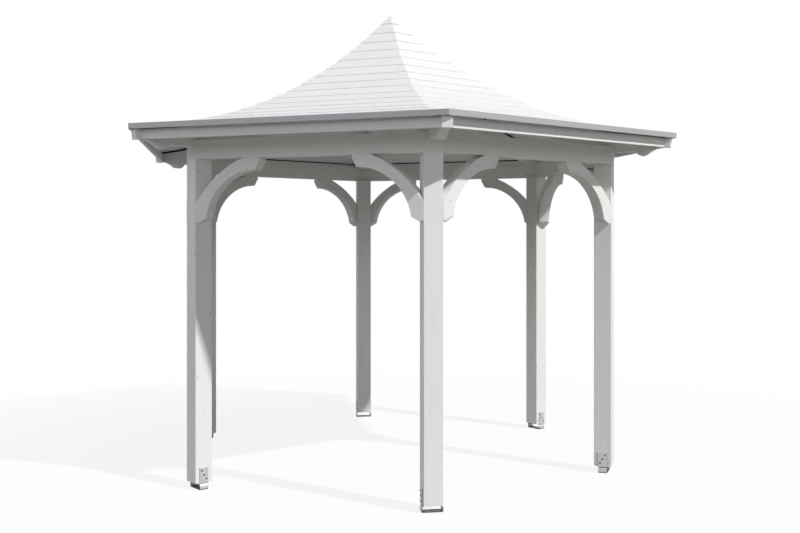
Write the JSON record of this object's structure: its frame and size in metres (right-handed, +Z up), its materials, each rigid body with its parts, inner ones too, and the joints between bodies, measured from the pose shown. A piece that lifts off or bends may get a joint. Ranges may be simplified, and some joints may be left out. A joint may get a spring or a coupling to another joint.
{
  "type": "garden gazebo",
  "caption": "Hexagonal open garden gazebo: square timber posts on steel bases, curved braces, a ring of beams and a bell-cast boarded roof on hip rafters.",
  "frame": {"origin": "on the ground, at the centre of the plan", "axes": "+Z up through the apex; one post stands on -Y, and two sides face +X and -X"},
  "size_m": [3.6142, 4.1734, 3.305],
  "materials": {
    "painted_timber": "matt white paint on planed softwood",
    "grey_edging": "light cool grey paint on planed softwood",
    "black_felt": "softwood batten under black roofing felt",
    "galvanised_steel": "dull zinc"
  },
  "bodies": {
    "root": {"front_post": "painted_timber", "front_right_post": "painted_timber", "back_right_post": "painted_timber", "back_post": "painted_timber", "back_left_post": "painted_timber", "front_left_post": "painted_timber", "front_braces": "painted_timber", "front_right_braces": "painted_timber", "back_right_braces": "painted_timber", "back_braces": "painted_timber", "back_left_braces": "painted_timber", "front_left_braces": "painted_timber", "front_hip_rafter": "painted_timber", "front_right_hip_rafter": "painted_timber", "back_right_hip_rafter": "painted_timber", "back_hip_rafter": "painted_timber", "back_left_hip_rafter": "painted_timber", "front_left_hip_rafter": "painted_timber", "front_right_beam": "painted_timber", "right_beam": "painted_timber", "back_right_beam": "painted_timber", "back_left_beam": "painted_timber", "left_beam": "painted_timber", "front_left_beam": "painted_timber", "front_right_roof_panel": "painted_timber", "right_roof_panel": "painted_timber", "back_right_roof_panel": "painted_timber", "back_left_roof_panel": "painted_timber", "left_roof_panel": "painted_timber", "front_left_roof_panel": "painted_timber", "apex_block": "painted_timber", "fascia_boards": "painted_timber", "front_right_eave_trim": "grey_edging", "right_eave_trim": "grey_edging", "back_right_eave_trim": "grey_edging", "back_left_eave_trim": "grey_edging", "left_eave_trim": "grey_edging", "front_left_eave_trim": "grey_edging", "hip_battens": "black_felt", "front_post_base": "galvanised_steel", "front_right_post_base": "galvanised_steel", "back_right_post_base": "galvanised_steel", "back_post_base": "galvanised_steel", "back_left_post_base": "galvanised_steel", "front_left_post_base": "galvanised_steel"}
  },
  "joints": []
}
